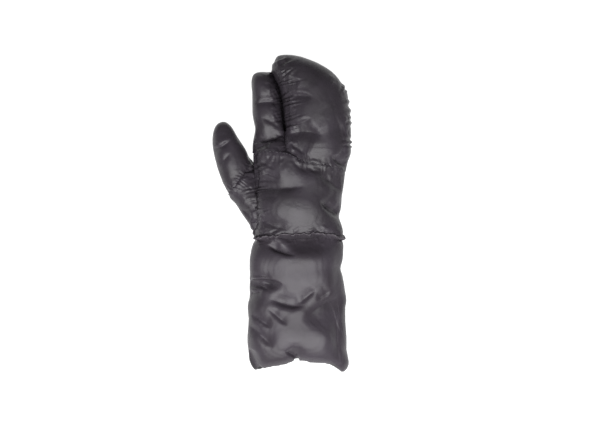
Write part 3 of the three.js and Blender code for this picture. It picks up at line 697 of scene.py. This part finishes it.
def capsule(length, radius):
    """A stitch as a grid of places: 6 rings of 6 along x, their radius the root of a sine."""
    u = np.linspace(0, math.pi, 6)[:, None]
    v = np.linspace(0, 2 * math.pi, 6, endpoint=False)[None, :]
    x = -0.5 * length * np.cos(u) + 0 * v
    thin = radius * np.sqrt(np.sin(u)) + 0.01 * MM
    return np.stack([x, thin * np.cos(v), thin * np.sin(v)], -1)


def stitches(name, points, spacing, length, radius, carriers):
    """Stitches of one size, evenly spaced along a plan line and laid on what lies under it."""
    graph = bpy.context.evaluated_depsgraph_get()
    trees = [BVHTree.FromObject(carrier, graph) for carrier in carriers]
    corners = plan(*zip(*points))
    steps = np.hypot(*np.diff(corners, axis=0).T)
    reached = np.concatenate([[0], np.cumsum(steps)])
    stitch = capsule(length, radius)
    rows, columns = stitch.shape[:2]
    index = np.arange(rows * columns).reshape(rows, columns)
    beside = np.roll(index, -1, axis=1)
    quads = np.stack([index[:-1], beside[:-1], beside[1:], index[1:]], -1).reshape(-1, 4).tolist()
    ends = [index[0, ::-1].tolist(), index[-1].tolist()]
    places, faces = [], []
    for at in np.arange(spacing, reached[-1], spacing):
        ahead = [np.interp(at + half * length, reached, corners[:, k])
                 for half in (-0.5, 0.5) for k in (0, 1)]
        low, high = Vector((ahead[0], ahead[1], 0)), Vector((ahead[2], ahead[3], 0))
        hits = []
        for end in (low, high):
            found = [tree.ray_cast(Vector((end.x, end.y, 0.2)), Vector((0, 0, -1)))[0]
                     for tree in trees]
            heights = [hit.z for hit in found if hit]
            hits.append(Vector((end.x, end.y, max(heights, default=0) + 0.25 * radius)))
        turn = (hits[1] - hits[0]).to_track_quat("X", "Z").to_matrix()
        middle = np.array((hits[0] + hits[1]) / 2)
        start = len(places) * rows * columns
        places.append(stitch.reshape(-1, 3) @ np.array(turn).T + middle)
        faces += [[start + k for k in face] for face in quads + ends]
    mesh = bpy.data.meshes.new(name)
    mesh.from_pydata(np.concatenate(places).tolist(), [], faces)
    mesh.polygons.foreach_set("use_smooth", np.ones(len(mesh.polygons), bool))
    piece = bpy.data.objects.new(name, mesh)
    bpy.context.scene.collection.objects.link(piece)
    return piece


def surface(name, grid):
    """A mesh object over a grid of places, joined round in both directions."""
    rows, columns = grid.shape[:2]
    index = np.arange(rows * columns).reshape(rows, columns)
    onward = np.roll(index, -1, axis=0)
    beside = np.roll(index, -1, axis=1)
    both = np.roll(onward, -1, axis=1)
    faces = np.stack([index, onward, both, beside], -1).reshape(-1, 4)
    mesh = bpy.data.meshes.new(name)
    mesh.from_pydata(grid.reshape(-1, 3).tolist(), [], faces.tolist())
    mesh.polygons.foreach_set("use_smooth", np.ones(len(mesh.polygons), bool))
    mesh.update()
    work = bmesh.new()
    work.from_mesh(mesh)
    bmesh.ops.recalc_face_normals(work, faces=work.faces)
    work.to_mesh(mesh)
    work.free()
    piece = bpy.data.objects.new(name, mesh)
    bpy.context.scene.collection.objects.link(piece)
    return piece


def linear(colour):
    """An sRGB hex colour as the linear values that a shader takes."""
    value = np.array([int(colour[k : k + 2], 16) / 255 for k in (1, 3, 5)])
    curve = np.where(value <= 0.04045, value / 12.92, ((value + 0.055) / 1.055) ** 2.4)
    return (*curve.tolist(), 1.0)


def add_node(tree, kind, inputs=None, **settings):
    """Adds a shader node, sets its properties, and sets or links its inputs."""
    node = tree.nodes.new(kind)
    for name, value in settings.items():
        setattr(node, name, value)
    for name, value in (inputs or {}).items():
        if isinstance(value, bpy.types.NodeSocket):
            tree.links.new(value, node.inputs[name])
        else:
            node.inputs[name].default_value = value
    return node


def ramp(tree, value, low, high, low_at, high_at):
    """A colour ramp from low, at the value low_at, to high, at high_at."""
    node = add_node(tree, "ShaderNodeValToRGB", {"Fac": value})
    node.color_ramp.elements[0].position = low_at
    node.color_ramp.elements[0].color = low
    node.color_ramp.elements[1].position = high_at
    node.color_ramp.elements[1].color = high
    return node.outputs["Color"]


# The colour of the painted shade: the same nylon as the shell, darkened to stand in for the shade
# inside the mitt and in deep folds.
PAINTED_SHADE_COLOUR = "#1a181b"
CLOUDS_PER_METRE = 30  # each about 33 mm across
CREASES_PER_METRE = 120  # about 8 mm apart
CREASE_HEIGHT = 2.0 * MM


def nylon(name, dark, light, roughness, crinkle):
    """Thin calendered nylon: a soft shine, faintly cloudy colour, crinkles and the grain of yarns."""
    material = bpy.data.materials.new(name)
    material.use_nodes = True
    tree = material.node_tree
    shader = tree.nodes["Principled BSDF"]
    place = add_node(tree, "ShaderNodeTexCoord").outputs["Object"]

    # Cloudy colour, as thin cloth over uneven fill takes the light unevenly.
    cloud = add_node(tree, "ShaderNodeTexNoise", {"Vector": place, "Scale": CLOUDS_PER_METRE,
                                              "Detail": 3})
    colour = ramp(tree, cloud.outputs["Fac"], linear(dark), linear(light), 0.35, 0.65)

    # Painted shade: the lining inside, the bottoms of deep folds and the hem's turned-back corner take
    # a darker colour that stands in for the shade there.
    painted_shade_mask = add_node(tree, "ShaderNodeAttribute", attribute_name="painted_shade").outputs["Fac"]
    mixed = add_node(tree, "ShaderNodeMixRGB",
                     {"Fac": painted_shade_mask, "Color1": colour, "Color2": linear(PAINTED_SHADE_COLOUR)})
    tree.links.new(mixed.outputs["Color"], shader.inputs["Base Color"])

    # Sharp small creases where the cloth is slack, beside the gathered seams.
    slack = add_node(tree, "ShaderNodeAttribute", attribute_name="slack").outputs["Fac"]
    lines = add_node(tree, "ShaderNodeTexNoise",
                     {"Vector": place, "Scale": CREASES_PER_METRE, "Detail": 2},
                     noise_type="RIDGED_MULTIFRACTAL", normalize=True)
    raised = add_node(tree, "ShaderNodeMath", operation="MULTIPLY")
    tree.links.new(lines.outputs["Fac"], raised.inputs[0])
    tree.links.new(slack, raised.inputs[1])
    bump = add_node(tree, "ShaderNodeBump",
                    {"Height": raised.outputs["Value"], "Distance": CREASE_HEIGHT})

    # Soft unevenness of 26 mm and 6 mm over the fill, and the grain of the yarns, which is drawn at
    # 0.4 mm, coarser than it is, so that it still tells in the shine.
    for size, distance in ((26, 0.5), (6, 0.05), (0.4, 0.02)):
        grain = {"Vector": place, "Scale": 1 / (size * MM), "Detail": 2, "Distortion": 0.7}
        texture = add_node(tree, "ShaderNodeTexNoise", grain)
        inputs = {"Height": texture.outputs["Fac"], "Distance": distance * crinkle * MM,
                  "Normal": bump.outputs["Normal"]}
        bump = add_node(tree, "ShaderNodeBump", inputs)
    tree.links.new(bump.outputs["Normal"], shader.inputs["Normal"])
    shader.inputs["Roughness"].default_value = roughness
    shader.inputs["Specular IOR Level"].default_value = 0.35
    return material


def place_camera():
    """The camera looks straight down. 750 by 550 mm fill its picture at the mitt's half height."""
    height = 2.4
    seen_at = 0.025
    centre = plan(PHOTO_SIZE[0] / 2, PHOTO_SIZE[1] / 2)
    data = bpy.data.cameras.new("camera")
    data.sensor_width = 36
    data.lens = 36 * (height - seen_at) / (PHOTO_SIZE[0] * PIXEL)
    camera = bpy.data.objects.new("camera", data)
    camera.location = (centre[0], centre[1], height)
    bpy.context.scene.collection.objects.link(camera)
    bpy.context.scene.camera = camera


def area_light(name, spot, aim, size, power):
    """A rectangular soft box at a spot, turned to its aim and itself unseen by the camera."""
    data = bpy.data.lights.new(name, "AREA")
    data.shape = "RECTANGLE"
    data.size, data.size_y = size
    data.energy = power
    light = bpy.data.objects.new(name, data)
    light.location = spot
    light.rotation_euler = (Vector(aim) - Vector(spot)).to_track_quat("-Z", "Y").to_euler()
    light.visible_camera = False
    bpy.context.scene.collection.objects.link(light)


def light_studio():
    """A pale floor, a dim white sky, and one wide soft box close above the cuff.

    Its nearness makes the cuff lighter than the fingers, and it leaves dark what faces the fingertips.
    """
    mesh = bpy.data.meshes.new("floor")
    reach = 3.0
    corners = [(-reach, -reach, -0.0002), (reach, -reach, -0.0002), (reach, reach, -0.0002),
               (-reach, reach, -0.0002)]
    mesh.from_pydata(corners, [], [(0, 1, 2, 3)])
    floor = bpy.data.objects.new("floor", mesh)
    bpy.context.scene.collection.objects.link(floor)
    material = bpy.data.materials.new("pale_floor")
    material.use_nodes = True
    shader = material.node_tree.nodes["Principled BSDF"]
    shader.inputs["Base Color"].default_value = (0.3, 0.3, 0.3, 1)
    shader.inputs["Roughness"].default_value = 0.8
    shader.inputs["Emission Color"].default_value = (1, 1, 1, 1)
    shader.inputs["Emission Strength"].default_value = 1.0
    mesh.materials.append(material)

    world = bpy.data.worlds.new("studio")
    world.use_nodes = True
    world.node_tree.nodes["Background"].inputs["Color"].default_value = (1, 1, 1, 1)
    world.node_tree.nodes["Background"].inputs["Strength"].default_value = 0.04
    bpy.context.scene.world = world
    area_light("soft_box", spot=(-0.04, -0.57, 1.0), aim=(-0.04, -0.53, 0.0), size=(1.15, 1.17),
               power=28.7)
    bpy.context.scene.view_settings.view_transform = "Standard"


place_camera()
light_studio()

# The hand's calendered nylon lies loose over its fill: a soft shine that crinkles break up.
shell = nylon("charcoal_nylon", "#2e2a2f", "#373239", roughness=0.42, crinkle=2.0)
# The cuff's is the same cloth, drawn smoother: broad quiet lights. Its colour is painted a little
# lighter than the hand's, as painted light for the brighter cuff.
taut_shell_painted_lighter = nylon("charcoal_nylon_drawn_taut_painted_lighter", "#322d33", "#3a353c", roughness=0.45, crinkle=0.8)
# The lip of the wrist's seam is its doubled edge, of the same nylon, with its colour painted lighter:
# a painted highlight for the light that the lip catches.
welt_cloth_painted_highlight = nylon("welt_nylon_painted_highlight", "#3c373d", "#474248", roughness=0.45, crinkle=0.6)
# The thread is spun nylon: matt beside the cloth.
thread = nylon("charcoal_thread", "#3a383d", "#444147", roughness=0.6, crinkle=0.3)

padded = {node: net_over(node) for node in AXES}
for node, piece in padded.items():
    hold(node, piece)
blow_up(list(padded.values()))
for node in ("index_stall", "finger_pocket"):
    bulged_towards(padded[node], "slit", SLIT_MEETS)
for node in ("thumb_stall", "thumb_gusset"):
    bulged_towards(padded[node], "crotch", CROTCH_MEETS)
turned_back_corner(padded["gauntlet_cuff"])
for node, piece in padded.items():
    gathered(node, piece)
seated_on(padded["thumb_gusset"], padded["hand_shell"], "sewn", 8 * MM)
seated_on(padded["thumb_stall"], padded["hand_shell"], "sewn", 6 * MM)
for node, piece in padded.items():
    piece.data.materials.append(taut_shell_painted_lighter if node == "gauntlet_cuff" else shell)
    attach(piece, "root")
    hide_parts(node)

welt = ruffled_welt()
wander(welt, "hand_wrist")
welt.data.materials.append(welt_cloth_painted_highlight)
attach(welt, "root")
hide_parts("wrist_welt")

KNUCKLE_STITCHES = [(257, 152.5), (264, 152.5), (272, 152), (280, 153.5), (288, 154.5),
                    (297, 159), (304, 162.5), (313, 163.5), (322, 166.5), (334, 168), (345, 172)]
sewn = [padded["hand_shell"], padded["finger_pocket"], padded["index_stall"]]
knuckle_stitches = stitches("knuckle_stitches", KNUCKLE_STITCHES, spacing=4.2 * MM, length=2.6 * MM,
                            radius=0.55 * MM, carriers=sewn)
knuckle_stitches.data.materials.append(thread)
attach(knuckle_stitches, "root")
